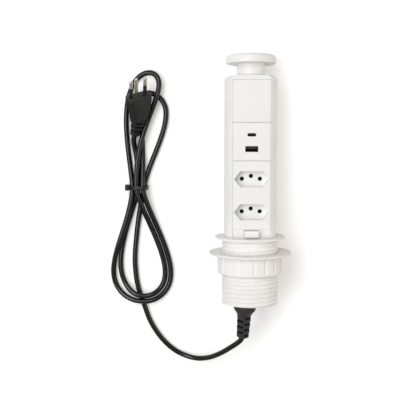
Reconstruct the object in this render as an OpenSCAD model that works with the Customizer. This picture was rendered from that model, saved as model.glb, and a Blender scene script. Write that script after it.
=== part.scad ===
// Retractable desk socket: a round column with sockets and chargers slides through a threaded
// desk sleeve. The assembly lies on its back, sockets up, with its mains lead tied in a hank.

/* [Column] */
// Outer radius of the round column
column_r = 28; // [27.6:0.1:28]
// Wall thickness of the column
column_wall = 2.4; // [2:0.1:2.6]
// Distance from the axis to the flat front
face_depth = 19.4; // [19.2:0.1:19.6]
// Height of the column's top edge above the desk
column_top = 171.5; // [171:0.5:174]
// Rounding of the column's top edge
top_round = 4.2; // [3:0.1:4.3]
// Height of the socket module
socket_module = 72; // [71:0.5:73]
// Height of the charger module
usb_module = 40; // [38:1:42]
// Height of the blank module
blank_module = 44; // [42:1:44]
// Height of the first module's lower edge above the desk
module_base = 11; // [11:0.5:12]

/* [Knob] */
// Radius of the pull knob
knob_r = 26.4; // [25:0.2:27]
// Thickness of the pull knob
knob_h = 9.5; // [9:0.5:11]
// Rounding of the knob's upper rim
knob_round = 4; // [3:0.25:4.25]
// Finger gap between the column and the knob
finger_gap = 13; // [12:0.5:15]
// Radius of the neck under the knob
neck_r = 14.2; // [13:0.2:15]

/* [Desk sleeve] */
// Outside radius of the sleeve over its thread
sleeve_r = 30.2; // [30.1:0.1:30.6]
// Pitch of the sleeve's thread
thread_pitch = 4.5; // [4:0.25:5]
// Length of the sleeve below the desk
sleeve_l = 70.5; // [68:0.5:74]
// Radius of the desk flange
flange_r = 37.5; // [36:0.5:40]
// Thickness of the desk flange
flange_t = 2; // [1.8:0.1:2.4]

/* [Clamp] */
// Gap between the flange and the clamp washer, where the desk top goes
desk_gap = 15; // [12:0.5:18]
// Radius of the clamp washer
washer_r = 43.8; // [42:0.2:46]
// Thickness of the clamp washer
washer_t = 2.4; // [2:0.1:3]
// Outside radius of the ring nut
nut_r = 35; // [34.5:0.1:36]
// Height of the ring nut
nut_h = 20; // [18:0.5:22]
// Number of grip pads round the nut
nut_pads = 18; // [12:1:24]

/* [Sockets] */
// Distance between the two line pin holes
pin_pitch = 19; // [18.8:0.1:19.2]
// Offset of the earth hole from the line holes
earth_offset = 3; // [2.8:0.1:3.2]
// Radius of a pin hole
hole_r = 2.25; // [2.15:0.05:2.4]
// Distance between the two socket recesses
socket_pitch = 34.6; // [34:0.1:35]
// Width of a hexagonal recess, tip to tip
recess_w = 36.4; // [36:0.1:36.4]
// Height of a hexagonal recess
recess_h = 16.6; // [16:0.1:17]
// Depth of a hexagonal recess
recess_d = 10; // [8:0.5:10.5]

/* [Mains lead] */
// Diameter of the mains lead
cord_d = 5.8; // [5.4:0.1:5.8]
// Length of the strain relief outside its foot
boot_l = 39; // [38:0.5:40]
// Length of the plug's pins
pin_l = 18; // [17:0.5:19]
// Diameter of the plug's pins
pin_d = 4; // [3.9:0.05:4]

/* [Hidden] */
$fn = 96;

white = [0.93, 0.93, 0.92];
cream = [0.85, 0.85, 0.83];
black = [0.07, 0.07, 0.07];
metal = [0.75, 0.75, 0.76];
brass = [0.78, 0.62, 0.3];

// Clearance between pieces that slide in each other
slide_gap = 0.3;
// Half the joint line between neighbouring modules
joint_line = 0.15;

column_in = column_r - column_wall;
wall_depth = 14.4;
cover_t = 2;
cover_w = 39.2;
pocket_w = 39.5;
ledge_w = 33;
seat_depth = face_depth - cover_t;
strip_depth = face_depth - 1;
usb_base = module_base + socket_module;
blank_base = usb_base + usb_module;
cap_base = blank_base + blank_module;

// The sleeve's mouth is a D that follows the column, over a wider round bore
mouth_r = column_r + slide_gap;
mouth_base = -2.5;
foot_r = mouth_r;
bore_r = foot_r + slide_gap;
foot_top = mouth_base - slide_gap;
cap_t = 3;
foot_base = cap_t - sleeve_l;
notch_w = 16;
thread_gap = 0.35;
nut_bore = sleeve_r + thread_gap;
nut_top = -desk_gap - washer_t - slide_gap;
cap_screw_reach = 21.5;

knob_base = column_top + finger_gap;
knob_top = knob_base + knob_h;
screw_seat = cap_base + 9;

socket_mid = module_base + socket_module / 2 - 0.4;
floor_depth = face_depth - recess_d;
floor_t = 2;
carrier_depth = floor_depth - floor_t;
contact_depth = floor_depth - 20;
strip_t = 0.9;
terminal_z = module_base + 1.5;
core_r = 1.15;
usb_mid = usb_base + usb_module / 2 - 0.3;
usb_step = 7.4;
board_depth = 6;
board_t = 1.6;

button_w = 15.2;
button_h = 6.8;
button_base = 3;
button_mid = button_base + button_h / 2;
button_depth = 25;
cage_depth = 5;
spring_seat = 18;

// Place of the strain relief on the bottom cap, across and towards the back, and its slant
boot_x = -4.7;
boot_y = 3;
boot_lean = 3;
boot_droop = 12;
boot_foot = 2.4;
clamp_top = -56.5;
core_start = -52;

// The assembly lies on the rims of the washer and the knob, which sets its tilt
rest_reach = washer_r - knob_r + knob_round;
rest_span = knob_top - knob_round + desk_gap;
tilt = acos(knob_round / norm([rest_reach, rest_span])) - atan2(rest_span, rest_reach);
rest_lift = washer_r * cos(tilt) - desk_gap * sin(tilt);
sleeve_edge = 1;
low_end = (sleeve_edge - sleeve_r) * sin(tilt) - sleeve_l * cos(tilt);
high_end = (knob_r - knob_round) * sin(tilt) + (knob_top - knob_round) * cos(tilt) + knob_round;
rest_shift = -(low_end + high_end) / 2;

// Point or direction of the upright assembly after it is laid down
function laid_way(v) = [v[0], v[2] * cos(tilt) - v[1] * sin(tilt), -v[1] * cos(tilt) - v[2] * sin(tilt)];
function laid(p) = laid_way(p) + [0, rest_shift, rest_lift];

boot_way = [-cos(boot_droop) * sin(boot_lean), sin(boot_droop), -cos(boot_droop) * cos(boot_lean)];
boot_tip = laid([boot_x, boot_y, -sleeve_l - boot_foot] + boot_l * boot_way);

cord_r = cord_d / 2;
cord_sides = 8;
hank_sides = 6;

// Waist of the hank: where the strands pass the tie, in the order in which the lead passes it
waist_y = -12;
waist_x = [-116.2, -117.4, -129, -124.2, -122.5];
waist_end = 4.1;
// Each half turn has a reach, a sideways shift, a spread on its way out and on its way back,
// and the power that draws each side in towards the waist
half_turns = [
  [104.5, 5.4, 48, 28, 1.35, 6],
  [131, 5.9, 63.4, 70.5, 1.35, 1.65],
  [126.4, 17.1, -36.3, -43, 1.2, 2.5],
  [124.7, 5.8, 55.2, 52, 1.35, 1.15]];
// Height of the strand along each half turn: on the floor, or over the strands that it crosses
half_turn_heights = [
  [[0, 4.05], [2, 4], [6, 3.5], [11, 3.1], [156, 3.1], [162, 4.1], [166, 5.9], [170, 8], [174.5, 9.8],
    [180, 10.4]],
  [[0, 10.4], [4, 10.3], [8, 8.6], [12, 6.4], [16, 4.5], [21, 3.2], [24, 3.1], [66, 3.1], [80, 8.8],
    [90, 9.6], [101, 8.9], [118, 3.1], [129, 3.1], [138, 4.6], [146, 7], [152, 8.7], [158, 9.5],
    [164, 9.6], [171, 9.5], [176, 8.3], [180, 6]],
  [[0, 6], [4, 4.5], [9, 3.3], [12, 3.1], [84, 3.1], [98, 6], [114, 9.3], [128, 9.5], [143, 8.8],
    [156, 9.6], [168, 10.1], [175, 10.4], [180, 10.4]],
  [[0, 10.4], [6, 10.2], [10, 9.6], [12.5, 8.3], [15, 6.4], [18, 4.6], [22, 3.3], [25, 3.1], [66, 3.1],
    [80, 8.9], [90, 9.6], [101, 9.4], [118, 3.1], [169, 3.1], [174, 3.5], [178, 4.05], [180, waist_end]]];
// Angles of the rings along each half turn: closest where the strand bends or climbs most
half_turn_rings = [
  [0, 20, 40, 58, 74, 90, 106, 124, 144, 160, 170],
  [0, 5, 12, 21, 44, 66, 80, 90, 101, 118, 135, 148, 158, 171],
  [0, 9, 32, 54, 74, 92, 108, 124, 142, 158, 170],
  [0, 9, 15, 24, 44, 66, 80, 90, 101, 118, 140, 165]];
end_straight = 1.5;

// Plug: place of its neck, its rise, turn and roll, and the bend of its tail to the side
plug_neck = [-121.8, 59.6, 14];
plug_rise = 20;
plug_turn = -3.4;
plug_roll = 44;
plug_bend = 13;
plug_tail = 14;
plug_grip = 24.5;
plug_nose = 8;
plug_w = 34.5;
plug_t = 14.6;
pin_root = 6;
pin_sleeve = 9.5;
tail_turn = plug_turn - plug_bend;
tail_way = [-sin(tail_turn) * cos(plug_rise), cos(tail_turn) * cos(plug_rise), sin(plug_rise)];
plug_end = plug_neck - plug_tail * tail_way;

// Lead from the strain relief over the floor, under the hank's lower loops and up to the tie
lead_points = concat([boot_tip, boot_tip + 3 * laid_way(boot_way)],
  [[-10, -179.6, 39.2], [-14, -183.3, 37.7], [-18.9, -187.4, 35.6], [-24.3, -192.3, 32.2],
  [-29.2, -196.7, 28.6], [-35.3, -201.4, 24], [-41.2, -205.6, 19.4], [-50.7, -209.9, 12.6],
  [-60, -211.4, 7.8], [-69, -210, 4.8], [-78, -206.5, 3.4], [-86, -201.3, 3.1], [-94.5, -193.2, 3.1],
  [-102, -183.7, 3.1], [-108, -174, 3.1], [-113, -163.4, 3.1], [-117.6, -149.2, 3.1],
  [-120.4, -140.9, 3.1], [-123.5, -131.4, 3.1], [-126, -119.5, 3.1], [-127.2, -107.7, 3.1],
  [-127.7, -96, 3.1], [-127.2, -84.4, 3.1], [-126, -72.7, 3.1], [-124.8, -61.2, 3.1],
  [-123.2, -49.7, 3.1], [-121.9, -41.6, 3.1], [-120.2, -32.5, 3.1], [-118.4, -23.3, 3.5]]);

// Lead from the tie over the floor and up to the plug
tail_points = concat([[-122.4, -4.1, 3.7], [-122.7, 4.8, 3.1], [-123.3, 13.8, 3.1], [-124.4, 22.7, 3.1],
  [-125.5, 29.5, 3.5], [-126.4, 35.3, 4.6]], [plug_end - 6 * tail_way, plug_end]);

function unit(v) = v / norm(v);

function hank_point(turn, angle) =
  let (shape = half_turns[turn], start = waist_x[turn], end = waist_x[turn + 1])
  let (out = angle < 90, spread = out ? shape[2] : shape[3], power = out ? shape[4] : shape[5])
  let (swell = pow(sin(angle), power), up = turn % 2 == 0 ? 1 : -1)
  [(start + end) / 2 + (start - end) / 2 * cos(angle) + (spread * cos(angle) + shape[1]) * swell,
    waist_y + up * shape[0] * sin(angle),
    lookup(angle, half_turn_heights[turn])];

// The hank's ends run straight on from the lead and into the tail, so that their end faces meet flat
hank_in = lead_points[len(lead_points) - 1];
hank_in_way = unit(hank_in - lead_points[len(lead_points) - 2]);
hank_out = tail_points[0];
hank_out_way = unit(tail_points[1] - hank_out);
hank_points = concat(
  [hank_in, hank_in + end_straight * hank_in_way],
  [for (turn = [0:3], angle = half_turn_rings[turn]) hank_point(turn, angle)],
  [[waist_x[4], waist_y, waist_end], hank_out - end_straight * hank_out_way, hank_out]);

// Least gap between stretches of the hank that are not neighbours along it
fine_hank = [for (turn = [0:3], step = [0:59]) hank_point(turn, step * 3)];
neighbours = 12;
hank_gap = min([for (i = [0:len(fine_hank) - 1], j = [i + neighbours:1:len(fine_hank) - 1])
  norm(fine_hank[i] - fine_hank[j])]) - cord_d;
echo(hank_gap = hank_gap);

function tube_ring(points, i, r, sides, up_hint) =
  let (last = len(points) - 1)
  let (along = unit(points[min(i + 1, last)] - points[max(i - 1, 0)]))
  let (side = unit(cross(along, up_hint)), up = cross(side, along))
  [for (k = [0:sides - 1]) points[i] + r * (cos(360 * k / sides) * side + sin(360 * k / sides) * up)];

// Tube through the rings, each of the given number of sides
module tube_skin(rings, sides) {
  last = len(rings) / sides - 1;
  walls = [for (i = [0:last - 1], k = [0:sides - 1])
    let (a = i * sides + k, b = i * sides + (k + 1) % sides)
    each [[a, a + sides, b], [b, a + sides, b + sides]]];
  caps = [for (k = [1:sides - 2]) each [[0, k, k + 1],
    [last * sides, last * sides + k + 1, last * sides + k]]];
  polyhedron(rings, concat(walls, caps));
}

// Tube of the given radius along points
module tube(points, r, sides, up_hint = [0, 0, 1]) {
  tube_skin([for (i = [0:len(points) - 1]) each tube_ring(points, i, r, sides, up_hint)], sides);
}

// Lays the upright assembly on its back
module lay() {
  translate([0, rest_shift, rest_lift]) rotate([-90 - tilt, 0, 0]) children();
}

// Block across the front: its width, its depths towards the front and its heights
module block(w, depth_from, depth_to, z_from, z_to) {
  translate([-w / 2, -depth_to, z_from]) cube([w, depth_to - depth_from, z_to - z_from]);
}

// Places children at a depth towards the front, with their z axis pointing out of the front
module on_front(x, depth, z) {
  translate([x, -depth, z]) rotate([90, 0, 0]) children();
}

// Flat oval of the given width and height
module stadium(w, h) {
  square([w - h, h], center = true);
  for (side = [-1, 1]) translate([side * (w - h) / 2, 0]) circle(h / 2);
}

module recess_outline(grow) {
  half_w = recess_w / 2 + grow;
  half_h = recess_h / 2 + grow;
  flat = 11.7 + grow / 2;
  polygon([[-half_w, 0], [-flat, -half_h], [flat, -half_h], [half_w, 0], [flat, half_h], [-flat, half_h]]);
}

module at_sockets() {
  for (side = [-0.5, 0.5]) translate([0, 0, socket_mid + side * socket_pitch]) children();
}

module at_cap_screws() {
  for (k = [0:2]) rotate(90 + 120 * k) translate([cap_screw_reach, 0, 0]) children();
}

// Column's cross-section: a circle with a flat front
module column_outline(r, depth) {
  difference() {
    circle(r);
    translate([-r, -2 * r]) square([2 * r, 2 * r - depth]);
  }
}

module desk_sleeve() color(white) lay() {
  flange_edge = 1.2;
  thread_d = 0.7;
  root_r = sleeve_r - thread_d;
  thread_low = sleeve_edge - sleeve_l;
  ridges = floor((sleeve_l - sleeve_edge - 1) / thread_pitch);
  // Each ridge has a broad crest and a narrow groove above it
  thread = [for (k = [0:ridges - 1], p = [[sleeve_r, 0.55], [root_r, 0.7], [root_r, 0.85], [sleeve_r, 1]])
    [p[0], thread_low + (k + p[1]) * thread_pitch]];
  rotate_extrude() polygon(concat([[mouth_r, mouth_base], [bore_r, mouth_base], [bore_r, -sleeve_l],
    [sleeve_r - sleeve_edge, -sleeve_l], [sleeve_r, thread_low]], thread, [[sleeve_r, 0], [flange_r, 0],
    [flange_r, flange_t - flange_edge], [flange_r - flange_edge, flange_t], [mouth_r, flange_t]]));
  // Web across the flat front of the mouth, with a notch in front of the button
  difference() {
    intersection() {
      translate([0, 0, mouth_base]) cylinder(r = mouth_r + 0.2, h = flange_t - mouth_base);
      block(2 * mouth_r + 1, face_depth + slide_gap, mouth_r + 1, mouth_base, flange_t);
    }
    block(notch_w, 0, mouth_r + 1, mouth_base - 1, flange_t + 1);
  }
}

module clamp_washer() color(white) lay() {
  edge = 0.7;
  translate([0, 0, -desk_gap - washer_t]) rotate_extrude() polygon([[nut_bore, 0],
    [washer_r - edge, 0], [washer_r, edge], [washer_r, washer_t], [nut_bore, washer_t]]);
}

module ring_nut() color(white) lay() {
  groove_r = 3.2;
  groove_d = 0.9;
  groove_from = 0.72;
  edge = 1;
  rim = 2.4;
  translate([0, 0, nut_top - nut_h]) difference() {
    rotate_extrude() polygon([[nut_bore, 0], [nut_r - edge, 0], [nut_r, edge], [nut_r, nut_h],
      [nut_bore, nut_h]]);
    for (k = [0:nut_pads - 1]) rotate(360 * (k + groove_from) / nut_pads)
      translate([nut_r + groove_r - groove_d, 0, rim]) cylinder(r = groove_r, h = nut_h);
  }
}

module column_shell() color(white) lay() difference() {
  translate([0, 0, foot_top]) linear_extrude(cap_base - foot_top) column_outline(column_r, face_depth);
  translate([0, 0, foot_top - 1]) linear_extrude(cap_base - foot_top + 2)
    column_outline(column_in, wall_depth);
  // Seat of the modules, with room for the wells and an opening behind it
  block(ledge_w, 0, column_r, module_base, cap_base + 1);
  block(pocket_w, seat_depth, column_r, module_base, cap_base + 1);
  at_sockets() on_front(0, 0, 0) linear_extrude(column_r) recess_outline(1.5);
  // Recessed strip under the modules, with the button's window
  block(pocket_w, strip_depth, column_r, foot_top - 1, module_base + 1);
  block(button_w + 2 * slide_gap, 0, column_r, button_base - slide_gap, button_base + button_h + slide_gap);
}

module column_foot() color(white) lay() {
  spigot_wall = 2;
  spigot_low = 4;
  spigot_high = 3.4;
  difference() {
    translate([0, 0, foot_base]) cylinder(r = foot_r, h = foot_top - foot_base);
    translate([0, 0, foot_base - 1]) cylinder(r = column_in, h = foot_top - foot_base + 2);
  }
  // Spigot that centres the shell
  translate([0, 0, foot_top - spigot_low]) linear_extrude(spigot_low + spigot_high) difference() {
    column_outline(column_in - 0.05, wall_depth - 0.1);
    column_outline(column_in - spigot_wall, wall_depth - spigot_wall);
  }
  // Shelf that closes the foot in front of the shell's flat
  translate([0, 0, foot_top - spigot_low]) linear_extrude(spigot_low) difference() {
    circle(column_in + 0.2);
    column_outline(column_in - spigot_wall, wall_depth - spigot_wall);
  }
  // Bosses for the bottom cap's screws
  at_cap_screws() translate([0, 0, foot_base]) difference() {
    translate([-3, -3.5, 0]) cube([7.6, 7, 14]);
    translate([0, 0, -1]) cylinder(r = 1.6, h = 14);
  }
}

module bottom_cap() color(white) lay() difference() {
  edge = 1;
  rotate_extrude() polygon([[0, -sleeve_l], [foot_r - edge, -sleeve_l], [foot_r, edge - sleeve_l],
    [foot_r, foot_base], [0, foot_base]]);
  translate([boot_x, boot_y, -sleeve_l - 1]) cylinder(r = 6, h = cap_t + 2);
  at_cap_screws() translate([0, 0, -sleeve_l - 1]) {
    cylinder(r = 1.8, h = cap_t + 2);
    cylinder(r = 3.2, h = 2.8);
  }
}

module cap_screws() color(metal) lay() {
  head = 1.4;
  at_cap_screws() translate([0, 0, 0.4 - sleeve_l]) {
    difference() {
      cylinder(r = 2.9, h = head);
      for (turn = [0, 90]) rotate(turn) translate([-1.8, -0.35, -1]) cube([3.6, 0.7, 1.7]);
    }
    translate([0, 0, head]) cylinder(r = 1.4, h = 10);
  }
}

module top_cap() color(white) lay() difference() {
  flare = 3;
  union() {
    intersection() {
      rotate_extrude() {
        translate([0, cap_base]) square([column_r, column_top - cap_base - top_round]);
        translate([0, cap_base]) square([column_r - top_round, column_top - cap_base]);
        translate([column_r - top_round, column_top - top_round]) intersection() {
          circle(top_round);
          square(top_round);
        }
      }
      block(2 * column_r, -column_r, face_depth, cap_base - 1, column_top + 1);
    }
    // Neck with a flared foot
    rotate_extrude() difference() {
      translate([0, column_top - 1]) square([neck_r + flare, knob_base - column_top + 1]);
      translate([neck_r + flare, column_top + flare]) circle(flare);
      translate([neck_r, column_top + flare]) square([flare + 1, finger_gap]);
    }
  }
  translate([0, 0, cap_base - 1]) cylinder(r = 7, h = screw_seat - cap_base + 1);
  translate([0, 0, cap_base - 1]) cylinder(r = 2.6, h = knob_base - cap_base + 2);
}

module pull_knob() color(white) lay() difference() {
  foot_round = 1;
  rotate_extrude() {
    translate([0, knob_base]) square([knob_r - knob_round, knob_h]);
    translate([0, knob_base]) square([knob_r - foot_round, knob_h - knob_round]);
    translate([0, knob_base + foot_round]) square([knob_r, knob_h - foot_round - knob_round]);
    translate([knob_r - foot_round, knob_base + foot_round]) intersection() {
      circle(foot_round);
      translate([0, -foot_round]) square(foot_round);
    }
    translate([knob_r - knob_round, knob_top - knob_round]) intersection() {
      circle(knob_round);
      square(knob_round);
    }
  }
  translate([0, 0, knob_base - 1]) cylinder(r = 2.1, h = 7.5);
}

module knob_screw() color(metal) lay() {
  head = 4;
  translate([0, 0, screw_seat - head]) cylinder(r = 4.5, h = head);
  translate([0, 0, screw_seat]) cylinder(r = 2, h = knob_base + 5 - screw_seat);
}

// Flat module cover with a pair of snap legs on its back
module cover(z_from, h) {
  leg_x = 15.4;
  block(cover_w, seat_depth, face_depth, z_from + joint_line, z_from + h - joint_line);
  for (side = [-1, 1]) translate([side * leg_x, 0, 0])
    block(1.6, 11, seat_depth + 0.2, z_from + h / 2 - 3, z_from + h / 2 + 3);
}

module blank_cover() color(white) lay() cover(blank_base, blank_module);

module usb_faceplate() color(white) lay() difference() {
  union() {
    cover(usb_base, usb_module);
    // Posts that hold the charger board
    for (x = [-11.5, 11.5], z = [-15, 15]) on_front(x, board_depth, usb_mid + z)
      cylinder(r = 2, h = seat_depth - board_depth + 0.2);
  }
  on_front(0, 0, usb_mid + usb_step) linear_extrude(column_r) stadium(9.2, 3.4);
  on_front(0, 0, usb_mid - usb_step) linear_extrude(column_r) square([13.4, 6], center = true);
}

module usb_c_shell() color(metal) lay() on_front(0, board_depth, usb_mid + usb_step) difference() {
  linear_extrude(13) stadium(8.95, 3.15);
  translate([0, 0, 1]) linear_extrude(13) stadium(8.35, 2.55);
}

module usb_c_tongue() color(black) lay() on_front(0, board_depth + 1, usb_mid + usb_step)
  translate([-3.35, -0.35, 0]) cube([6.7, 0.7, 10]);

module usb_a_shell() color(metal) lay() on_front(0, board_depth, usb_mid - usb_step) difference() {
  linear_extrude(13) square([13.1, 5.7], center = true);
  translate([0, 0, 1]) linear_extrude(13) square([12.5, 5.1], center = true);
}

module usb_a_tongue() color(black) lay() on_front(0, board_depth + 1, usb_mid - usb_step)
  translate([-5.6, 0.3, 0]) cube([11.2, 1.9, 10]);

module usb_board() color([0.1, 0.35, 0.2]) lay()
  block(28, board_depth - board_t, board_depth, usb_mid - 18, usb_mid + 18);

module usb_transformer() color([0.55, 0.5, 0.2]) lay() {
  block(17, -9, -3, usb_mid - 8, usb_mid + 8);
  block(12, -10.6, board_depth - board_t, usb_mid - 5, usb_mid + 5);
}

module usb_capacitors() color([0.2, 0.2, 0.25]) lay() {
  on_front(9.5, -9, usb_mid + 12.5) cylinder(r = 4, h = 9 + board_depth - board_t);
  on_front(-10, -5, usb_mid + 13) cylinder(r = 3, h = 5 + board_depth - board_t);
}

module socket_faceplate() color(white) lay() difference() {
  union() {
    cover(module_base, socket_module);
    at_sockets() on_front(0, carrier_depth, 0) linear_extrude(recess_d + floor_t - 0.5) recess_outline(1.2);
  }
  at_sockets() {
    on_front(0, floor_depth, 0) linear_extrude(recess_d + 1) recess_outline(0);
    for (side = [-0.5, 0.5]) on_front(side * pin_pitch, 0, 0) cylinder(r = hole_r, h = face_depth);
    on_front(0, 0, earth_offset) cylinder(r = hole_r, h = face_depth);
  }
}

module socket_carrier() color(cream) lay() difference() {
  bore = 3.6;
  block(31, contact_depth - 2, carrier_depth, module_base + 4, module_base + socket_module - 5);
  at_sockets() {
    for (side = [-0.5, 0.5]) on_front(side * pin_pitch, contact_depth, 0) cylinder(r = bore, h = 40);
    on_front(0, contact_depth, earth_offset) cylinder(r = bore, h = 40);
  }
  // Channels for the three contact strips
  for (x = [-pin_pitch / 2, 0, pin_pitch / 2]) translate([x, 0, 0])
    block(5, contact_depth - 3, contact_depth + 1.2, module_base, module_base + socket_module - 10);
}

// Two spring sleeves joined by a strip that ends in a terminal
module contacts(x, rise) {
  sleeve_in = 2.05;
  sleeve_out = 3;
  length = 12;
  difference() {
    union() {
      at_sockets() on_front(x, contact_depth, rise) cylinder(r = sleeve_out, h = length);
      translate([x, 0, 0]) block(4, contact_depth, contact_depth + strip_t, module_base - 1,
        socket_mid + socket_pitch / 2 + rise);
    }
    at_sockets() on_front(x, contact_depth + strip_t, rise) {
      cylinder(r = sleeve_in, h = length);
      translate([-0.4, -4, 4]) cube([0.8, 8, length]);
    }
    on_front(x, contact_depth - 1, terminal_z) cylinder(r = 1.1, h = 3);
  }
}

module live_contacts() color(brass) lay() contacts(-pin_pitch / 2, 0);

module neutral_contacts() color(brass) lay() contacts(pin_pitch / 2, 0);

module earth_contacts() color(brass) lay() contacts(0, earth_offset);

module terminal_screws() color(metal) lay() {
  for (x = [-pin_pitch / 2, 0, pin_pitch / 2]) on_front(x, contact_depth + strip_t, terminal_z) {
    cylinder(r = 1.7, h = 1.6);
    translate([0, 0, -3]) cylinder(r = 1, h = 3);
  }
}

// Insulated core from the end of the lead to the terminal at x
module core(x, spread, rise) {
  back = core_r - contact_depth;
  tube([[boot_x + spread, boot_y + rise, core_start], [boot_x + spread, boot_y + rise, -46],
    [(boot_x + spread + x) / 2, 8 + rise, -26], [x, back, -8], [x, back, 3], [x, back, module_base]],
    core_r, cord_sides, [0, -1, 0]);
}

module live_wire() color([0.4, 0.2, 0.1]) lay() core(-pin_pitch / 2, -1.3, -0.7);

module neutral_wire() color([0.1, 0.25, 0.6]) lay() core(pin_pitch / 2, 1.3, -0.7);

module earth_wire() color([0.2, 0.55, 0.15]) lay() core(0, 0, 1.5);

module at_clamp_screws(y) {
  for (side = [-1, 1]) translate([boot_x + side * 8, boot_y + y, -61]) rotate([-90, 0, 0]) children();
}

module cable_clamp() color(cream) lay() difference() {
  translate([boot_x - 12, boot_y - 7, foot_base]) cube([24, 14, clamp_top - foot_base]);
  translate([boot_x, boot_y, foot_base - 1]) cylinder(r = cord_r + 0.05, h = 20);
  at_clamp_screws(-8) cylinder(r = 1.6, h = 16);
}

module clamp_screws() color(metal) lay() at_clamp_screws(-8.5) {
  cylinder(r = 2.6, h = 1.5);
  translate([0, 0, 1.5]) cylinder(r = 1.5, h = 12);
}

module cord_entry() color(black) lay()
  translate([boot_x, boot_y, foot_base]) cylinder(r = cord_r, h = core_start - foot_base);

module button_guide() color(cream) lay() difference() {
  block(19, cage_depth - 2, wall_depth, 1.4, 11);
  block(17.2, cage_depth, wall_depth + 1, 2.2, 10.4);
}

module release_button() color(white) lay() difference() {
  stop_depth = 14;
  union() {
    intersection() {
      block(button_w, stop_depth, button_depth, button_base, button_base + button_h);
      cylinder(r = column_r - 0.4, h = 40);
    }
    block(button_w + 1.4, stop_depth - 1.5, stop_depth, button_base - 0.5, button_base + button_h + 0.3);
  }
  on_front(0, stop_depth - 3, button_mid) cylinder(r = 2.6, h = spring_seat - stop_depth + 3);
}

// Compression spring that runs from the cage towards the front
module button_spring() color(metal) lay() {
  coil_r = 1.9;
  turns = 6;
  steps = 48;
  wire_r = 0.3;
  sides = 5;
  length = spring_seat - cage_depth - 2 * wire_r - 0.1;
  points = [for (i = [0:steps]) let (a = 360 * turns * i / steps)
    [coil_r * cos(a), -cage_depth - wire_r - 0.05 - length * i / steps, button_mid + coil_r * sin(a)]];
  outward = [for (i = [0:steps]) let (a = 360 * turns * i / steps) [cos(a), 0, sin(a)]];
  tube_skin([for (i = [0:steps]) each tube_ring(points, i, wire_r, sides, outward[i])], sides);
}

// Bell-shaped strain relief: a foot against the cap, a plug in its hole and a slanted tapering stem
module strain_relief() color(black) lay() translate([boot_x, boot_y, 0]) {
  translate([0, 0, -sleeve_l]) cylinder(r = 5.9, h = cap_t);
  translate([0, 0, -sleeve_l - boot_foot]) cylinder(r = 12.4, h = boot_foot);
  translate([0, 0, -sleeve_l - boot_foot]) rotate([180 + boot_droop, boot_lean, 0])
    rotate_extrude() polygon([[0, 0], [10.5, 0], [12, 1.2], [12, 5.9], [11.2, 7.1], [10, 8.7], [8.9, 10.5],
      [8.1, 12.5], [7.7, 14.8], [7.4, 24], [6.8, boot_l - 1], [6.1, boot_l], [0, boot_l]]);
}

module cord_lead() color(black) tube(lead_points, cord_r, cord_sides);

module cord_hank() color(black) tube(hank_points, cord_r, hank_sides);

module cord_tail() color(black) tube(tail_points, cord_r, cord_sides);

// Outline round the five strands at the waist
module tie_outline() {
  polygon([[-124.5, 1], [-114.2, 1], [-112.2, 2.7], [-112.2, 6], [-113.6, 11.4], [-115.8, 13.7],
    [-125.7, 13.7], [-132.3, 8.2], [-132.3, 4.6], [-130.9, 2.8]]);
}

module cable_tie() color(black) {
  band_w = 4.6;
  band_t = 0.9;
  head_w = 6;
  translate([0, waist_y + band_w / 2, 0]) rotate([90, 0, 0]) linear_extrude(band_w) difference() {
    offset(delta = band_t) tie_outline();
    tie_outline();
  }
  translate([-137, waist_y - head_w / 2, 3.8]) cube([4.4, head_w, 6.8]);
}

// Places the plug: its own y axis runs towards the pins, and its neck is plug_tail from the origin
module plug_place(turn = plug_turn) {
  translate(plug_neck) rotate([0, 0, turn]) rotate([plug_rise, 0, 0]) rotate([0, plug_roll, 0])
    translate([0, -plug_tail, 0]) children();
}

module hex_slab(w, t, flat, h) {
  rotate([-90, 0, 0]) linear_extrude(h)
    polygon([[-w / 2, 0], [-flat, -t / 2], [flat, -t / 2], [w / 2, 0], [flat, t / 2], [-flat, t / 2]]);
}

module plug_body() color(black) {
  face = plug_tail + plug_grip;
  sunk = 1.5;
  plug_place() {
    translate([0, face, 0]) hex_slab(plug_w, plug_t, 11, plug_nose);
    hull() {
      translate([0, face, 0]) hex_slab(plug_w - 4, plug_t - 0.6, 10, 0.1);
      translate([0, plug_tail, 0]) hex_slab(18, 14, 5, 0.1);
    }
  }
  // Ribbed cord end, bent to the side
  plug_place(tail_turn) rotate([-90, 0, 0]) rotate_extrude() polygon([[0, 0], [4.6, 0], [5.2, 1], [5.2, 2.6],
    [4.6, 2.6], [4.6, 4.2], [5.8, 4.2], [5.8, 6.2], [5.1, 6.2], [5.1, 7.8], [6.4, 7.8], [6.4, 9.8],
    [5.7, 9.8], [5.7, 11.4], [6.8, 11.4], [6.8, plug_tail + sunk], [0, plug_tail + sunk]]);
}

// Places children on the plug's face, with their z axis along the pins
module on_plug(x, z) {
  plug_place() translate([x, plug_tail + plug_grip + plug_nose, z]) rotate([-90, 0, 0]) children();
}

// Pin with a thinner root, at its full width from the given height to its chamfered tip
module plug_pin(full_from) {
  root_r = pin_d / 2 - 0.5;
  tip = 1.5;
  rotate_extrude() polygon([[0, -pin_root], [root_r, -pin_root], [root_r, full_from], [pin_d / 2, full_from],
    [pin_d / 2, pin_l - tip], [pin_d / 2 - 1, pin_l], [0, pin_l]]);
}

module plug_line_pins() color(metal) {
  for (side = [-0.5, 0.5]) on_plug(side * pin_pitch, 0) plug_pin(pin_sleeve);
}

module plug_pin_sleeves() color(black) for (side = [-0.5, 0.5]) on_plug(side * pin_pitch, 0) difference() {
  cylinder(r = pin_d / 2, h = pin_sleeve);
  translate([0, 0, -1]) cylinder(r = pin_d / 2 - 0.45, h = pin_sleeve + 2);
}

module plug_earth_pin() color(metal) on_plug(0, -earth_offset) plug_pin(0);

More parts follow.
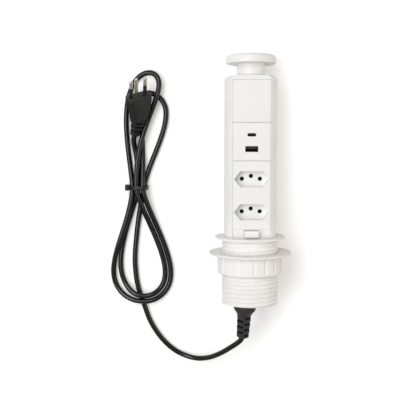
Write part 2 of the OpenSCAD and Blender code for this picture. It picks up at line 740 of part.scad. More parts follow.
desk_sleeve();
clamp_washer();
ring_nut();
column_shell();
column_foot();
bottom_cap();
cap_screws();
top_cap();
pull_knob();
knob_screw();
blank_cover();
usb_faceplate();
usb_c_shell();
usb_c_tongue();
usb_a_shell();
usb_a_tongue();
usb_board();
usb_transformer();
usb_capacitors();
socket_faceplate();
socket_carrier();
live_contacts();
neutral_contacts();
earth_contacts();
terminal_screws();
live_wire();
neutral_wire();
earth_wire();
cable_clamp();
clamp_screws();
cord_entry();
button_guide();
release_button();
button_spring();
strain_relief();
cord_lead();
cord_hank();
cord_tail();
cable_tie();
plug_body();
plug_line_pins();
plug_earth_pin();
plug_pin_sleeves();
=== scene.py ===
import math
import bmesh
import bpy
from mathutils import Matrix, Vector


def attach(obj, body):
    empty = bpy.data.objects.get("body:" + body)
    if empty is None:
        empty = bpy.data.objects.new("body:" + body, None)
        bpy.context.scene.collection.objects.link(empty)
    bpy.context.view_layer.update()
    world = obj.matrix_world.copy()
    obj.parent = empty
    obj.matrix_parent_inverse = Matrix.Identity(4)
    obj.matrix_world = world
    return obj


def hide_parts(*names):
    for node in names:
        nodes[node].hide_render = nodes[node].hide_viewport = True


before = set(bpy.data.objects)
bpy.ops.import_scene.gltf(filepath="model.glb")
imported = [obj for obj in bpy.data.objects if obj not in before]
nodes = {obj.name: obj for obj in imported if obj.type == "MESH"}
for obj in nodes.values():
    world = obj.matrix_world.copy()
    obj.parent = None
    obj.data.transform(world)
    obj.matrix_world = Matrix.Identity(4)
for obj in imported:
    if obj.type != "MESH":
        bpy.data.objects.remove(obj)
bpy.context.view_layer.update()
mm = 0.001
weld = 0.002  # mm within which two corners become one
smoothAngle = 35  # degrees between faces that still shade as one surface
print("frame:", len(nodes), "solids")


# small helpers for selecting, drawing and finishing

def deselectAll():
    if bpy.context.object and bpy.context.object.mode != "OBJECT":
        bpy.ops.object.mode_set(mode="OBJECT")
    bpy.ops.object.select_all(action="DESELECT")


def pick(piece):
    deselectAll()
    piece.select_set(True)
    bpy.context.view_layer.objects.active = piece


def joinTo(piece, others):
    pick(piece)
    for other in others:
        other.select_set(True)
    bpy.ops.object.join()


def selectFaces(piece, wanted):  # wanted gets a face's middle in mm and its normal
    bpy.ops.mesh.select_mode(type="FACE")
    bpy.ops.mesh.select_all(action="DESELECT")
    mesh = bmesh.from_edit_mesh(piece.data)
    for face in mesh.faces:
        face.select_set(bool(wanted(face.calc_center_median() / mm, face.normal)))
    bmesh.update_edit_mesh(piece.data)


def pullOut(step):  # step in mm
    bpy.ops.mesh.extrude_region_move(TRANSFORM_OT_translate={"value": Vector(step) * mm})


def drawOutline(name, points, closed=False):  # points (x, z) in mm, pulled out one vertex at a time
    deselectAll()
    bpy.ops.mesh.primitive_plane_add(size=mm)
    piece = bpy.context.object
    piece.name = name
    bpy.ops.object.mode_set(mode="EDIT")
    bpy.ops.mesh.select_mode(type="VERT")
    bpy.ops.mesh.merge(type="CENTER")
    bpy.ops.transform.translate(value=(points[0][0] * mm, 0, points[0][1] * mm))
    for a, b in zip(points, points[1:] + (points[:1] if closed else [])):
        pullOut((b[0] - a[0], 0, b[1] - a[1]))
    bpy.ops.mesh.select_all(action="SELECT")
    bpy.ops.mesh.remove_doubles(threshold=weld * mm)
    return piece


def closeShape():
    bpy.ops.mesh.select_all(action="SELECT")
    bpy.ops.mesh.remove_doubles(threshold=weld * mm)
    bpy.ops.mesh.normals_make_consistent(inside=False)


def spinOutline(name, points, steps, closed=False):
    piece = drawOutline(name, points, closed)
    bpy.ops.mesh.select_all(action="SELECT")
    bpy.ops.mesh.spin(steps=steps, angle=math.tau, center=(0, 0, 0), axis=(0, 0, 1))
    closeShape()
    return piece


def keepSide(point, normal):  # cuts the mesh being edited and keeps the side that normal points away from
    bpy.ops.mesh.select_all(action="SELECT")
    bpy.ops.mesh.bisect(plane_co=Vector(point) * mm, plane_no=normal, use_fill=True, clear_outer=True)


def addModifier(piece, kind, **settings):
    pick(piece)
    modifier = piece.modifiers.new(kind.lower(), kind)
    for name, value in settings.items():
        setattr(modifier, name, value)
    bpy.ops.object.modifier_apply(modifier=modifier.name)


def softenEdges(piece, width, segments, angle):  # edges sharper than the angle get a round of that width
    addModifier(piece, "BEVEL", width=width * mm, segments=segments, limit_method="ANGLE",
                angle_limit=math.radians(angle), harden_normals=False)


def placePiece(piece, matrix):
    pick(piece)
    piece.matrix_world = matrix
    bpy.ops.object.transform_apply(location=True, rotation=True, scale=True)


def finishPiece(piece, body, stoodFor):
    pick(piece)
    bpy.ops.object.shade_smooth_by_angle(angle=math.radians(smoothAngle))
    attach(piece, body)
    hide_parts(stoodFor)
    print("piece:", piece.name, len(piece.data.polygons), "faces")


def turned(axis, degrees):
    return Matrix.Rotation(math.radians(degrees), 4, axis)


# the socket is modelled upright, front towards -y and desk top at z 0, and laid on its back as the solids are
rest = {"tilt": 4.847541, "shift": -61.248963, "lift": 42.375761}
layDown = (Matrix.Translation(Vector((0, rest["shift"], rest["lift"])) * mm)
           @ turned("X", -90 - rest["tilt"]))


# camera above the socket, a little to its left

photoView = {"place": (-53.8, 109.03, 810.74), "tilt": -9.548, "lens": 65.7, "sensor": 36, "nearest": 10}
deselectAll()
bpy.ops.object.camera_add(location=Vector(photoView["place"]) * mm,
                          rotation=(math.radians(photoView["tilt"]), 0, 0))
camera = bpy.context.object
camera.data.lens = photoView["lens"]
camera.data.sensor_width = photoView["sensor"]
camera.data.clip_start = photoView["nearest"] * mm
bpy.context.scene.camera = camera
print("camera set")


# materials

def hexColour(code):
    parts = [int(code[i:i + 2], 16) / 255 for i in (1, 3, 5)]
    return [p / 12.92 if p <= 0.04045 else ((p + 0.055) / 1.055) ** 2.4 for p in parts] + [1]


def sized(millimetres):  # texture scale for a feature of that size
    return 1 / (millimetres * mm)


def addNode(tree, kind, settings=None, inputs=None):
    node = tree.nodes.new(kind)
    for name, value in (settings or {}).items():
        setattr(node, name, value)
    for name, value in (inputs or {}).items():
        if isinstance(value, bpy.types.NodeSocket):
            tree.links.new(value, node.inputs[name])
        else:
            node.inputs[name].default_value = value
    return node


def newTree(name):
    material = bpy.data.materials.new(name)
    material.use_nodes = True
    material.node_tree.nodes.clear()
    return material, material.node_tree


def objectPlace(tree):
    return addNode(tree, "ShaderNodeTexCoord").outputs["Object"]


def noiseOf(tree, place, size, detail):  # patches of about that size in mm
    return addNode(tree, "ShaderNodeTexNoise", None,
                   {"Vector": place, "Scale": sized(size), "Detail": detail}).outputs["Fac"]


def spreadOut(tree, noise, span, ends=(0, 1)):  # most of a noise lies in the span, and fills the ends' range
    return addNode(tree, "ShaderNodeMapRange", None,
                   {"Value": noise, "From Min": span[0], "From Max": span[1],
                    "To Min": ends[0], "To Max": ends[1]}).outputs["Result"]


def blended(tree, share, look):  # between a material's two colours
    return addNode(tree, "ShaderNodeMix", {"data_type": "RGBA"},
                   {0: share, 6: hexColour(look["colour"]), 7: hexColour(look["shade"])}).outputs[2]


def showSurface(tree, inputs):
    shader = addNode(tree, "ShaderNodeBsdfPrincipled", None, inputs)
    addNode(tree, "ShaderNodeOutputMaterial", None, {"Surface": shader.outputs["BSDF"]})


cloudSpan, glossSpan = (0.35, 0.65), (0.3, 0.7)
depths = {"grain": 0.05, "ripple": 0.3, "line": 0.02}  # mm of relief that the bumps stand for


# moulded plastic: the melt leaves faint clouds of colour, the eroded mould a fine satin grain that breaks up
# the gloss, and edges come out of the mould slightly rounded; the grain is drawn coarser than its real
# 0.1 mm so that it shows
def mouldedPlastic(name, look):
    material, tree = newTree(name)
    place = objectPlace(tree)
    cloud = spreadOut(tree, noiseOf(tree, place, look["cloud"], 2), cloudSpan)
    grain = noiseOf(tree, place, look["grain"], 3)
    edge = addNode(tree, "ShaderNodeBevel", {"samples": 4}, {"Radius": look["edge"] * mm})
    relief = addNode(tree, "ShaderNodeBump", None,
                     {"Height": grain, "Strength": look["relief"], "Distance": depths["grain"] * mm,
                      "Normal": edge.outputs["Normal"]})
    showSurface(tree, {"Base Color": blended(tree, cloud, look),
                       "Roughness": spreadOut(tree, grain, glossSpan, look["rough"]),
                       "Normal": relief.outputs["Normal"], "IOR": look["ior"],
                       "Specular IOR Level": look["shine"]})
    return material


absWhite = mouldedPlastic("absWhite", {
    "colour": "#f1f1ef", "shade": "#ededeb", "cloud": 30, "grain": 0.8, "rough": (0.38, 0.5),
    "relief": 0.25, "edge": 0.35, "ior": 1.53, "shine": 0.5})
polypropyleneWhite = mouldedPlastic("polypropyleneWhite", {
    "colour": "#f3f2f0", "shade": "#f0efec", "cloud": 18, "grain": 0.9, "rough": (0.42, 0.55),
    "relief": 0.25, "edge": 0.35, "ior": 1.49, "shine": 0.5})
polyamideCream = mouldedPlastic("polyamideCream", {
    "colour": "#dedbd0", "shade": "#d3cfc2", "cloud": 9, "grain": 0.7, "rough": (0.45, 0.6),
    "relief": 0.35, "edge": 0.2, "ior": 1.53, "shine": 0.5})
pvcBlackMoulded = mouldedPlastic("pvcBlackMoulded", {
    "colour": "#19191a", "shade": "#131314", "cloud": 7, "grain": 0.7, "rough": (0.4, 0.55),
    "relief": 0.5, "edge": 0.3, "ior": 1.53, "shine": 0.35})
pvcBlackSoft = mouldedPlastic("pvcBlackSoft", {
    "colour": "#343335", "shade": "#2d2c2e", "cloud": 6, "grain": 0.7, "rough": (0.5, 0.65),
    "relief": 0.5, "edge": 0.3, "ior": 1.53, "shine": 0.35})
# floors of slots: painted shade, a near-black matt colour standing in for the shade deep in the slots
paintedShadeSlotFloor = mouldedPlastic("paintedShadeSlotFloor", {
    "colour": "#060606", "shade": "#030303", "cloud": 4, "grain": 0.7, "rough": (0.7, 0.85),
    "relief": 0.5, "edge": 0.1, "ior": 1.53, "shine": 0.06})
polyamideBlack = mouldedPlastic("polyamideBlack", {
    "colour": "#1b1b1c", "shade": "#141415", "cloud": 5, "grain": 0.6, "rough": (0.35, 0.5),
    "relief": 0.4, "edge": 0.2, "ior": 1.53, "shine": 0.4})
lcpBlack = mouldedPlastic("lcpBlack", {
    "colour": "#151516", "shade": "#0f0f10", "cloud": 3, "grain": 0.4, "rough": (0.45, 0.6),
    "relief": 0.3, "edge": 0.1, "ior": 1.6, "shine": 0.5})
pvcBrown = mouldedPlastic("pvcBrown", {
    "colour": "#5a2f18", "shade": "#4c2612", "cloud": 6, "grain": 0.5, "rough": (0.3, 0.42),
    "relief": 0.2, "edge": 0.1, "ior": 1.53, "shine": 0.5})
pvcBlue = mouldedPlastic("pvcBlue", {
    "colour": "#24509b", "shade": "#1d4487", "cloud": 6, "grain": 0.5, "rough": (0.3, 0.42),
    "relief": 0.2, "edge": 0.1, "ior": 1.53, "shine": 0.5})


# extruded PVC sheath: drawn smooth, so long soft highlights run along it; faint ripples every few
# millimetres where the twisted cores press through, and a fine mottle in the gloss
def extrudedPvc(name, look):
    material, tree = newTree(name)
    place = objectPlace(tree)
    mottle = noiseOf(tree, place, look["mottle"], 3)
    relief = addNode(tree, "ShaderNodeBump", None,
                     {"Height": noiseOf(tree, place, look["ripple"], 1), "Strength": look["relief"],
                      "Distance": depths["ripple"] * mm})
    showSurface(tree, {"Base Color": blended(tree, mottle, look),
                       "Roughness": spreadOut(tree, mottle, glossSpan, look["rough"]),
                       "Normal": relief.outputs["Normal"], "IOR": look["ior"],
                       "Specular IOR Level": look["shine"]})
    return material


pvcSheath = extrudedPvc("pvcSheath", {
    "colour": "#0a0a0b", "shade": "#060607", "ripple": 7, "mottle": 0.9, "rough": (0.22, 0.3),
    "relief": 0.15, "ior": 1.54, "shine": 0.45})


# plated or stamped metal: fine drawing lines and faint stains break up a bright reflection
def drawnMetal(name, look):
    material, tree = newTree(name)
    place = objectPlace(tree)
    along = addNode(tree, "ShaderNodeMapping", None, {"Vector": place, "Scale": look["stretch"]})
    lines = noiseOf(tree, along.outputs["Vector"], look["line"], 2)
    relief = addNode(tree, "ShaderNodeBump", None,
                     {"Height": lines, "Strength": look["relief"], "Distance": depths["line"] * mm})
    showSurface(tree, {"Base Color": blended(tree, noiseOf(tree, place, look["stain"], 3), look),
                       "Roughness": spreadOut(tree, lines, glossSpan, look["rough"]), "Metallic": 1,
                       "Normal": relief.outputs["Normal"]})
    return material


nickelPlate = drawnMetal("nickelPlate", {
    "colour": "#d8d2c6", "shade": "#c4bdb0", "line": 0.3, "stain": 4, "rough": (0.18, 0.32),
    "relief": 0.15, "stretch": (1, 8, 1)})
zincSteel = drawnMetal("zincSteel", {
    "colour": "#b9bcc0", "shade": "#a3a6aa", "line": 0.4, "stain": 4, "rough": (0.25, 0.42),
    "relief": 0.15, "stretch": (1, 1, 1)})
stampedBrass = drawnMetal("stampedBrass", {
    "colour": "#6a5530", "shade": "#4f3f22", "line": 0.5, "stain": 4, "rough": (0.35, 0.5),
    "relief": 0.15, "stretch": (1, 6, 1)})
blackenedSteel = drawnMetal("blackenedSteel", {
    "colour": "#2b2b2d", "shade": "#1e1e20", "line": 0.3, "stain": 4, "rough": (0.35, 0.5),
    "relief": 0.15, "stretch": (1, 1, 1)})


# banded plastic: yellow stripes wound round the green of the earth core, or the edges of the turns of a
# glossy polyester tape round the transformer
def bandedPlastic(name, look):
    material, tree = newTree(name)
    bands = addNode(tree, "ShaderNodeTexWave", {"bands_direction": look["run"]},
                    {"Vector": objectPlace(tree), "Scale": sized(look["band"]), "Distortion": look["warp"]})
    showSurface(tree, {"Base Color": blended(tree, bands.outputs["Fac"], look), "Roughness": look["rough"],
                       "IOR": look["ior"]})
    return material


pvcGreenYellow = bandedPlastic("pvcGreenYellow", {
    "colour": "#3a7d2c", "shade": "#d3c02c", "run": "DIAGONAL", "band": 18, "warp": 0.4, "rough": 0.36,
    "ior": 1.53})
polyesterTape = bandedPlastic("polyesterTape", {
    "colour": "#cdb54a", "shade": "#bfa63c", "run": "Y", "band": 12, "warp": 0.6, "rough": 0.24, "ior": 1.57})


# lacquered glass-fibre board: the weave shows faintly through green lacquer
def lacqueredBoard(name, look):
    material, tree = newTree(name)
    weave = addNode(tree, "ShaderNodeTexChecker", None,
                    {"Vector": objectPlace(tree), "Scale": sized(look["weave"]),
                     "Color1": hexColour(look["colour"]), "Color2": hexColour(look["shade"])})
    showSurface(tree, {"Base Color": weave.outputs["Color"], "Roughness": look["rough"], "IOR": look["ior"]})
    return material


fibreBoard = lacqueredBoard("fibreBoard", {
    "colour": "#1c5a36", "shade": "#17502f", "weave": 0.9, "rough": 0.28, "ior": 1.55})

finishes = {
    absWhite: ["column_shell", "column_foot", "bottom_cap", "top_cap", "pull_knob", "blank_cover",
               "usb_faceplate", "socket_faceplate", "release_button"],
    polypropyleneWhite: ["desk_sleeve", "clamp_washer", "ring_nut"],
    polyamideCream: ["socket_carrier", "cable_clamp", "button_guide"],
    pvcBlackMoulded: ["plug_body", "plug_pin_sleeves"],
    pvcBlackSoft: ["strain_relief"],
    pvcSheath: ["cord_entry", "cord_lead", "cord_hank", "cord_tail"],
    polyamideBlack: ["cable_tie", "usb_capacitors"],
    lcpBlack: ["usb_c_tongue", "usb_a_tongue"],
    blackenedSteel: ["usb_c_shell", "usb_a_shell"],
    nickelPlate: ["plug_line_pins", "plug_earth_pin"],
    zincSteel: ["cap_screws", "knob_screw", "terminal_screws", "clamp_screws", "button_spring"],
    stampedBrass: ["live_contacts", "neutral_contacts", "earth_contacts"],
    pvcBrown: ["live_wire"],
    pvcBlue: ["neutral_wire"],
    pvcGreenYellow: ["earth_wire"],
    fibreBoard: ["usb_board"],
    polyesterTape: ["usb_transformer"],
}
for finish, names in finishes.items():
    for name in names:
        nodes[name].data.materials.clear()
        nodes[name].data.materials.append(finish)
print("materials on", sum(len(names) for names in finishes.values()), "solids")


# the mains lead: one length from the strain relief over the floor, four half turns through the tie, and
# the plug

lead = {
    "radius": 2.9,
    "bootTip": (-6.697, -172.786, 40.687), "bootWay": (-0.0512, -0.9909, -0.1246),
    "toTie": [(-10, -179.6, 39.2), (-14, -183.3, 37.7), (-18.9, -187.4, 35.6), (-24.3, -192.3, 32.2),
              (-29.2, -196.7, 28.6), (-35.3, -201.4, 24), (-41.2, -205.6, 19.4), (-50.7, -209.9, 12.6),
              (-60, -211.4, 7.8), (-69, -210, 4.8), (-78, -206.5, 3.4), (-86, -201.3, 3.1),
              (-94.5, -193.2, 3.1), (-102, -183.7, 3.1), (-108, -174, 3.1), (-113, -163.4, 3.1),
              (-117.6, -149.2, 3.1), (-120.4, -140.9, 3.1), (-123.5, -131.4, 3.1), (-126, -119.5, 3.1),
              (-127.2, -107.7, 3.1), (-127.7, -96, 3.1), (-127.2, -84.4, 3.1), (-126, -72.7, 3.1),
              (-124.8, -61.2, 3.1), (-123.2, -49.7, 3.1), (-121.9, -41.6, 3.1), (-120.2, -32.5, 3.1),
              (-118.4, -23.3, 3.5)],
    "toPlug": [(-122.4, -4.1, 3.7), (-122.7, 4.8, 3.1), (-123.3, 13.8, 3.1), (-124.4, 22.7, 3.1),
               (-125.5, 29.5, 3.5), (-126.4, 35.3, 4.6)],
    # lengths of lead inside the strain relief and straight on from it, and the same at the plug
    "inBoot": 4, "fromBoot": 3, "inPlug": 5, "toPlugStraight": 6,
    "waistY": -12, "waistX": (-116.2, -117.4, -129, -124.2, -122.5), "waistEnd": 4.1,
    # reach, sideways shift, spread out and back, and how fast each side draws in to the waist
    "halfTurns": [(104.5, 5.4, 48, 28, 1.35, 6), (131, 5.9, 63.4, 70.5, 1.35, 1.65),
                  (126.4, 17.1, -36.3, -43, 1.2, 2.5), (124.7, 5.8, 57.5, 53, 1.35, 1.15)],
    "belly": (0, 0, 0, 2.5),  # extra width of the way out, near the far end
    # angle and height: on the floor, or over the strands that are crossed
    "heights": [[(0, 4.05), (2, 4), (6, 3.5), (11, 3.1), (156, 3.1), (162, 4.1), (166, 5.9), (170, 8),
                 (174.5, 9.8), (180, 10.4)],
                [(0, 10.4), (4, 10.3), (8, 8.6), (12, 6.4), (16, 4.5), (21, 3.2), (24, 3.1), (66, 3.1),
                 (80, 8.8), (90, 9.6), (101, 8.9), (118, 3.1), (129, 3.1), (138, 4.6), (146, 7), (152, 8.7),
                 (158, 9.5), (164, 9.6), (171, 9.5), (176, 8.3), (180, 6)],
                [(0, 6), (4, 4.5), (9, 3.3), (12, 3.1), (84, 3.1), (98, 6), (114, 9.3), (128, 9.5),
                 (143, 8.8), (156, 9.6), (168, 10.1), (175, 10.4), (180, 10.4)],
                [(0, 10.4), (6, 10.2), (10, 9.6), (12.5, 8.3), (15, 6.4), (18, 4.6), (22, 3.3), (25, 3.1),
                 (66, 3.1), (80, 8.9), (90, 9.6), (101, 9.4), (118, 3.1), (169, 3.1), (174, 3.5),
                 (178, 4.05), (180, 4.1)]],
    "stepsPerTurn": 45, "spacing": 2.5, "smoothings": 3, "roundness": 6,
}
# the plug's neck, its turns, and the bend of its tail to the side
plug = {"neck": (-121.8, 59.6, 14), "rise": 20, "turn": -3.4, "roll": 44, "bend": 13, "tail": 14}


def plugMatrix(turn):
    return (Matrix.Translation(Vector(plug["neck"]) * mm) @ turned("Z", turn) @ turned("X", plug["rise"])
            @ turned("Y", plug["roll"]) @ Matrix.Translation((0, -plug["tail"] * mm, 0)))


tailMatrix = plugMatrix(plug["turn"] - plug["bend"])
tailWay = (tailMatrix.to_3x3() @ Vector((0, 1, 0))).normalized()
plugEnd = tailMatrix.translation / mm


def heightAt(table, angle):
    for (a, low), (b, high) in zip(table, table[1:]):
        if angle <= b:
            return low + (high - low) * (angle - a) / (b - a)
    return table[-1][1]


def halfTurnPoint(turn, angle):
    reach, shift, out, back, outPower, backPower = lead["halfTurns"][turn]
    start, end = lead["waistX"][turn], lead["waistX"][turn + 1]
    c, s = math.cos(math.radians(angle)), math.sin(math.radians(angle))
    spread, power = (out, outPower) if angle < 90 else (back, backPower)
    side = (start + end) / 2 + (start - end) / 2 * c + (spread * c + shift) * s ** power
    if angle < 90:
        side += lead["belly"][turn] * c * s ** 4
    along = (reach if turn % 2 == 0 else -reach) * s
    return (side, lead["waistY"] + along, heightAt(lead["heights"][turn], angle))


def smoothRoute(points, spacing):  # a curve through the points, in even steps
    route = []
    ends = [2 * points[0] - points[1]] + points + [2 * points[-1] - points[-2]]
    for a, b, c, d in zip(ends, ends[1:], ends[2:], ends[3:]):
        count = max(1, round((c - b).length / spacing))
        for i in range(count):
            t = i / count
            route.append(0.5 * (2 * b + (c - a) * t + (2 * a - 5 * b + 4 * c - d) * t ** 2
                                + (3 * b - a - 3 * c + d) * t ** 3))
    return route + [points[-1]]


bootTip, bootWay = Vector(lead["bootTip"]), Vector(lead["bootWay"])
knots = [bootTip - lead["inBoot"] * bootWay, bootTip, bootTip + lead["fromBoot"] * bootWay]
knots += [Vector(p) for p in lead["toTie"]]
for turn in range(len(lead["halfTurns"])):
    for step in range(lead["stepsPerTurn"]):
        knots.append(Vector(halfTurnPoint(turn, step * 180 / lead["stepsPerTurn"])))
knots.append(Vector((lead["waistX"][-1], lead["waistY"], lead["waistEnd"])))
knots += [Vector(p) for p in lead["toPlug"]]
knots += [plugEnd - lead["toPlugStraight"] * tailWay, plugEnd, plugEnd + lead["inPlug"] * tailWay]
route = smoothRoute(knots, lead["spacing"])
for repeat in range(lead["smoothings"]):  # evens out the humps where the lead climbs over itself
    route = ([route[0]] + [(a + 2 * b + c) / 4 for a, b, c in zip(route, route[1:], route[2:])]
             + [route[-1]])

leadCurve = bpy.data.curves.new("mainsLead", "CURVE")
leadCurve.dimensions = "3D"
leadCurve.bevel_depth = lead["radius"] * mm
leadCurve.bevel_resolution = lead["roundness"]
leadCurve.use_fill_caps = True
spline = leadCurve.splines.new("POLY")
spline.points.add(len(route) - 1)
for point, place in zip(spline.points, route):
    point.co = (*(place * mm), 1)
spline.use_smooth = True
mainsLead = bpy.data.objects.new("mainsLead", leadCurve)
bpy.context.scene.collection.objects.link(mainsLead)
leadCurve.materials.append(pvcSheath)
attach(mainsLead, "column")
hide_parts("cord_lead", "cord_hank", "cord_tail")


# desk sleeve: flange, tube with a helical ridge, and the D-shaped mouth with a notch for the button

sleeve = {
    "flange": 37.5, "thick": 2, "mouth": 28.3, "mouthBase": -2.5, "bore": 28.6, "root": 29.15,
    "length": 70.5, "chamfer": (0.3, 0.6), "edge": 0.45, "facets": 144,
    # the webs make the mouth D-shaped; they overlap the wall and end just inside its faces
    "webDepth": 19.7, "webOverlap": 0.15, "webInset": 0.02, "notch": 16,
    "pitch": 4.5, "ridgeStart": -76.14, "ridgeTurns": 18, "ridgeFacets": 96, "ridgeGaps": (0.1, 0.25),
    # half of the ridge's section, from its crest down to its foot inside the wall
    "ridge": [(30.2, 0.7), (30.12, 1.05), (29.85, 1.35), (29.45, 1.65), (29, 1.95)],
}


def makeWeb(side):  # the web at one side of the notch
    s = sleeve
    deselectAll()
    bpy.ops.mesh.primitive_cylinder_add(vertices=s["facets"], radius=(s["mouth"] + s["webOverlap"]) * mm,
                                        depth=(s["thick"] - s["mouthBase"] - s["webInset"]) * mm,
                                        location=(0, 0, (s["thick"] + s["mouthBase"]) / 2 * mm))
    web = bpy.context.object
    bpy.ops.object.transform_apply(location=True)
    bpy.ops.object.mode_set(mode="EDIT")
    keepSide((0, -s["webDepth"], 0), (0, 1, 0))
    keepSide((side * s["notch"] / 2, 0, 0), (-side, 0, 0))
    closeShape()
    return web


def makeSleeve():
    s = sleeve
    core = spinOutline("deskSleeve", [
        (s["mouth"], s["thick"]), (s["mouth"], s["mouthBase"]), (s["bore"], s["mouthBase"]),
        (s["bore"], -s["length"]), (s["root"] - s["chamfer"][0], -s["length"]),
        (s["root"], s["chamfer"][1] - s["length"]), (s["root"], 0),
        (s["flange"], 0), (s["flange"], s["thick"])], s["facets"], closed=True)
    softenEdges(core, s["edge"], 3, 40)
    loop = [(r, z) for r, z in reversed(s["ridge"])] + [(r, -z) for r, z in s["ridge"]]
    thread = drawOutline("sleeveThread", [(r, z + s["ridgeStart"]) for r, z in loop], closed=True)
    addModifier(thread, "SCREW", axis="Z", angle=math.tau, screw_offset=s["pitch"] * mm,
                iterations=s["ridgeTurns"], steps=s["ridgeFacets"], render_steps=s["ridgeFacets"],
                use_smooth_shade=False)
    bpy.ops.object.mode_set(mode="EDIT")
    closeShape()
    keepSide((0, 0, -s["ridgeGaps"][0]), (0, 0, 1))
    keepSide((0, 0, s["ridgeGaps"][1] - s["length"]), (0, 0, -1))
    joinTo(core, [thread, makeWeb(-1), makeWeb(1)])
    core.data.materials.append(polypropyleneWhite)
    placePiece(core, layDown)
    finishPiece(core, "sleeve", "desk_sleeve")


makeSleeve()


# strain relief and the plug's cord end: a turned cone with staggered slots down two sides

boot = {
    "place": (-4.7, 3, -72.9), "droop": 12, "lean": 3, "facets": 72, "edge": 0.3,
    "outline": [(0, -2.4), (12.4, -2.4), (12.4, 0), (11.6, 0.4), (12, 1.2), (12, 5.6), (11.7, 6.4),
                (11.1, 7.2), (10.4, 8.1), (9.7, 9.1), (9, 10.2), (8.4, 11.4), (8, 12.4), (7.75, 13.1)],
    "stem": [(13.1, 7.75), (38.4, 6.8)], "end": [(6.4, 39), (3.4, 39.1), (3.4, 35), (0, 35)],
    "rightSlots": [14.9, 22, 28.9, 35.9], "leftSlots": [18.6, 25.6, 32.4], "slotHeight": 2.9,
    # how far the slots' floors draw in along and across, and degrees of the web that is left between them
    "slotFloor": (0.92, 0.36), "web": 4,
}
hollowRadius = 4  # mm from the axis within which faces belong to the lead's hole


def stemRadius(stem, z):
    (z0, r0), (z1, r1) = stem
    return r0 + (r1 - r0) * (z - z0) / (z1 - z0)


def slottedCone(name, look, material):
    half = look["slotHeight"] / 2
    levels = sorted({round(z + d, 4) for z in look["rightSlots"] + look["leftSlots"] for d in (-half, half)}
                    | {look["stem"][1][0]})
    outline = look["outline"] + [(stemRadius(look["stem"], z), z) for z in levels] + look["end"]
    cone = spinOutline(name, outline, look["facets"])
    cone.data.materials.append(material)
    cone.data.materials.append(paintedShadeSlotFloor)
    for slots, side in ((look["rightSlots"], 1), (look["leftSlots"], -1)):
        def inSlot(middle, normal):
            away = abs(math.degrees(math.atan2(middle.y, side * middle.x)))
            row = any(abs(middle.z - z) < half for z in slots)
            return (row and away < 90 - look["web"] and abs(normal.z) < 0.5
                    and middle.xy.length > hollowRadius)
        selectFaces(cone, inSlot)
        pullOut((0, 0, 0))
        bpy.ops.transform.resize(value=(*look["slotFloor"], 1), center_override=(0, 0, 0))
        # the slots' floors take the near-black painted shade
        cone.active_material_index = 1
        bpy.ops.object.material_slot_assign()
    closeShape()
    bpy.ops.object.mode_set(mode="OBJECT")
    softenEdges(cone, look["edge"], 2, 50)
    return cone


def makeBoot():
    cone = slottedCone("strainRelief", boot, pvcBlackSoft)
    lean = turned("Y", boot["lean"]) @ turned("X", 180 + boot["droop"])
    placePiece(cone, layDown @ Matrix.Translation(Vector(boot["place"]) * mm) @ lean)
    finishPiece(cone, "column", "strain_relief")


makeBoot()


# plug: hexagonal nose with a collar, a tapering grip and a slotted cord end, its axis along z until it is
# placed

plugShape = {
    # height, half widths at the tips and at the flats, half thickness, shift aside, extra shift of one corner
    "sections": [(18.2, 10.2, 6.2, 6.2, 0.35, 0.55), (22, 11.4, 7, 6.4, 0.5, 0.8),
                 (30, 13.2, 8.6, 6.6, 0.9, 1.1), (37.9, 14.4, 9.6, 6.8, 0.9, 1),
                 (38.4, 17.25, 11.4, 7.3, 0.3, 0.7), (46.5, 17.25, 11.4, 7.3, 0.3, 0.7)],
    "edge": 0.9, "tipWithin": 0.05,
    "tail": {"facets": 64, "edge": 0.2, "outline": [(0, -0.6), (4.4, -0.6), (5, 0), (5.2, 0.8)],
             "stem": [(0.8, 5.1), (18.2, 8)], "end": [(7.6, 18.8), (6.2, 20), (0, 20)],
             "rightSlots": [6.1, 12, 16.8], "leftSlots": [6.1, 12, 16.8], "slotHeight": 2,
             "slotFloor": (0.93, 0.5), "web": 5},
    "tailTurn": -59,
}


def makePlug():
    deselectAll()
    bpy.ops.mesh.primitive_circle_add(vertices=6, radius=mm, fill_type="NGON", rotation=(0, 0, math.pi / 2))
    body = bpy.context.object
    body.name = "plugShell"
    bpy.ops.object.transform_apply(rotation=True)
    bpy.ops.object.mode_set(mode="EDIT")
    last = 0
    for index, section in enumerate(plugShape["sections"]):
        z, tip, flat, thick = section[:4]
        if index:
            pullOut((0, 0, z - last))
        else:
            bpy.ops.transform.translate(value=(0, 0, z * mm))
        last = z
        mesh = bmesh.from_edit_mesh(body.data)  # the six corners of the section being pulled out
        for vert in (v for v in mesh.verts if v.select):
            isTip = abs(vert.co.y) < plugShape["tipWithin"] * mm
            vert.co.x = math.copysign((tip if isTip else flat) * mm, vert.co.x)
            vert.co.y = 0 if isTip else math.copysign(thick * mm, vert.co.y)
        bmesh.update_edit_mesh(body.data)
    shiftAt = {round(section[0], 2): section[4:] for section in plugShape["sections"]}
    mesh = bmesh.from_edit_mesh(body.data)
    for vert in mesh.verts:
        aside, corner = shiftAt[round(vert.co.z / mm, 2)]
        shift = (aside + corner if vert.co.x > 0 and vert.co.y < -mm else aside) * mm
        vert.co += Vector((shift, -shift, 0))
    bmesh.update_edit_mesh(body.data)
    closeShape()
    softenEdges(body, plugShape["edge"], 3, 20)
    body.data.materials.append(pvcBlackMoulded)
    tail = slottedCone("plugTail", plugShape["tail"], pvcBlackMoulded)
    placePiece(tail, tailMatrix @ turned("X", -90) @ turned("Z", plugShape["tailTurn"]))
    placePiece(body, plugMatrix(plug["turn"]) @ turned("X", -90))
    joinTo(body, [tail])
    finishPiece(body, "column", "plug_body")
    return body


plugShell = makePlug()


# cable tie: a strap round the five strands and a ratchet head with the cut end of the strap in it

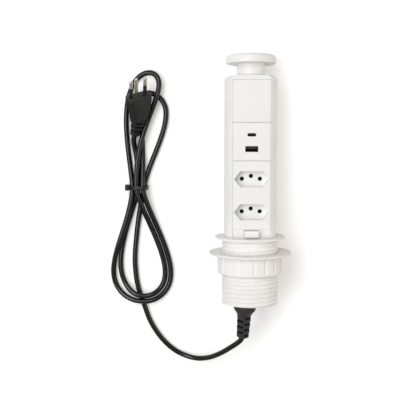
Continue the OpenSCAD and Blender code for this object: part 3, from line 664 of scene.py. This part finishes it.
tie = {
    "outline": [(-124.5, 1), (-114.2, 1), (-112.2, 2.7), (-112.2, 6), (-113.6, 11.4), (-115.8, 13.7),
                (-125.7, 13.7), (-132.3, 8.2), (-132.3, 4.6), (-130.9, 2.8)],
    "width": 4.6, "thick": 0.9, "corner": 1, "edge": 0.2,
    "headPlace": (-134.8, -12, 7.2), "headSize": (4.4, 6, 6.8), "headEdge": 0.55,
    # the head's rim and the depth inside it, and the gap round the cut end and its height from that depth
    "rim": 1.1, "depth": 1.6, "gap": 0.25, "cutEnd": 2,
}


def makeTie():
    strap = drawOutline("cableTie", tie["outline"], closed=True)
    bpy.ops.mesh.select_all(action="SELECT")
    bpy.ops.mesh.bevel(offset=tie["corner"] * mm, offset_type="OFFSET", segments=4, affect="VERTICES")
    bpy.ops.mesh.select_all(action="SELECT")
    bpy.ops.transform.translate(value=(0, (lead["waistY"] - tie["width"] / 2) * mm, 0))
    pullOut((0, tie["width"], 0))
    closeShape()
    addModifier(strap, "SOLIDIFY", thickness=tie["thick"] * mm, offset=1)
    softenEdges(strap, tie["edge"], 2, 50)
    deselectAll()
    bpy.ops.mesh.primitive_cube_add(size=1, location=Vector(tie["headPlace"]) * mm)
    head = bpy.context.object
    head.scale = Vector(tie["headSize"]) * mm
    bpy.ops.object.transform_apply(location=True, scale=True)
    bpy.ops.object.mode_set(mode="EDIT")
    selectFaces(head, lambda middle, normal: normal.z > 0.9)
    bpy.ops.mesh.inset(thickness=tie["rim"] * mm)
    pullOut((0, 0, -tie["depth"]))
    bpy.ops.mesh.inset(thickness=tie["gap"] * mm)
    pullOut((0, 0, tie["cutEnd"]))
    softenEdges(head, tie["headEdge"], 3, 60)
    joinTo(strap, [head])
    strap.data.materials.append(polyamideBlack)
    finishPiece(strap, "column", "cable_tie")
    return strap


cableTie = makeTie()


# floor, light and background

studio = {
    "floor": "#f4f4f3", "floorSize": 8, "floorLift": 0.28, "sky": 0.33, "aim": (-0.06, -0.03, 0),
    # name, place, watts, length and width, and colour: a long softbox at the left, a warm card at the right
    "lamps": [("softbox", (-0.57, 0.22, 1.18), 13.3, (1.5, 0.6), "#ffffff"),
              ("card", (0.9, -0.05, 0.45), 2.6, (0.6, 0.6), "#ffefe0")],
}

deselectAll()
bpy.ops.mesh.primitive_plane_add(size=studio["floorSize"])
floor = bpy.context.object
floor.name = "floor"
paperFloor, tree = newTree("paperFloor")  # white paper sweep: matt, lifted to white where it is looked at
seen = addNode(tree, "ShaderNodeLightPath")
lift = addNode(tree, "ShaderNodeMath", {"operation": "MULTIPLY"},
               {0: seen.outputs["Is Camera Ray"], 1: studio["floorLift"]})
paper = addNode(tree, "ShaderNodeBsdfDiffuse", None, {"Color": hexColour(studio["floor"])})
glow = addNode(tree, "ShaderNodeEmission", None, {"Strength": lift.outputs[0]})
both = addNode(tree, "ShaderNodeAddShader", None, {0: paper.outputs[0], 1: glow.outputs[0]})
addNode(tree, "ShaderNodeOutputMaterial", None, {"Surface": both.outputs[0]})
floor.data.materials.append(paperFloor)

world = bpy.data.worlds.new("studioSky")  # white where it is looked at, dimmer as a light
world.use_nodes = True
tree = world.node_tree
tree.nodes.clear()
seen = addNode(tree, "ShaderNodeLightPath")
sky = addNode(tree, "ShaderNodeMapRange", None,
              {"Value": seen.outputs["Is Camera Ray"], "To Min": studio["sky"], "To Max": 1})
backdrop = addNode(tree, "ShaderNodeBackground", None,
                   {"Color": (1, 1, 1, 1), "Strength": sky.outputs["Result"]})
addNode(tree, "ShaderNodeOutputWorld", None, {"Surface": backdrop.outputs[0]})
bpy.context.scene.world = world

for name, place, watts, size, colour in studio["lamps"]:
    deselectAll()
    way = Vector(studio["aim"]) - Vector(place)
    bpy.ops.object.light_add(type="AREA", location=place, rotation=way.to_track_quat("-Z", "Y").to_euler())
    lamp = bpy.context.object
    lamp.name = name
    lamp.data.energy = watts
    lamp.data.shape = "RECTANGLE"
    lamp.data.size, lamp.data.size_y = size
    lamp.data.color = hexColour(colour)[:3]
bpy.context.scene.view_settings.view_transform = "Standard"
print("studio set")

deselectAll()
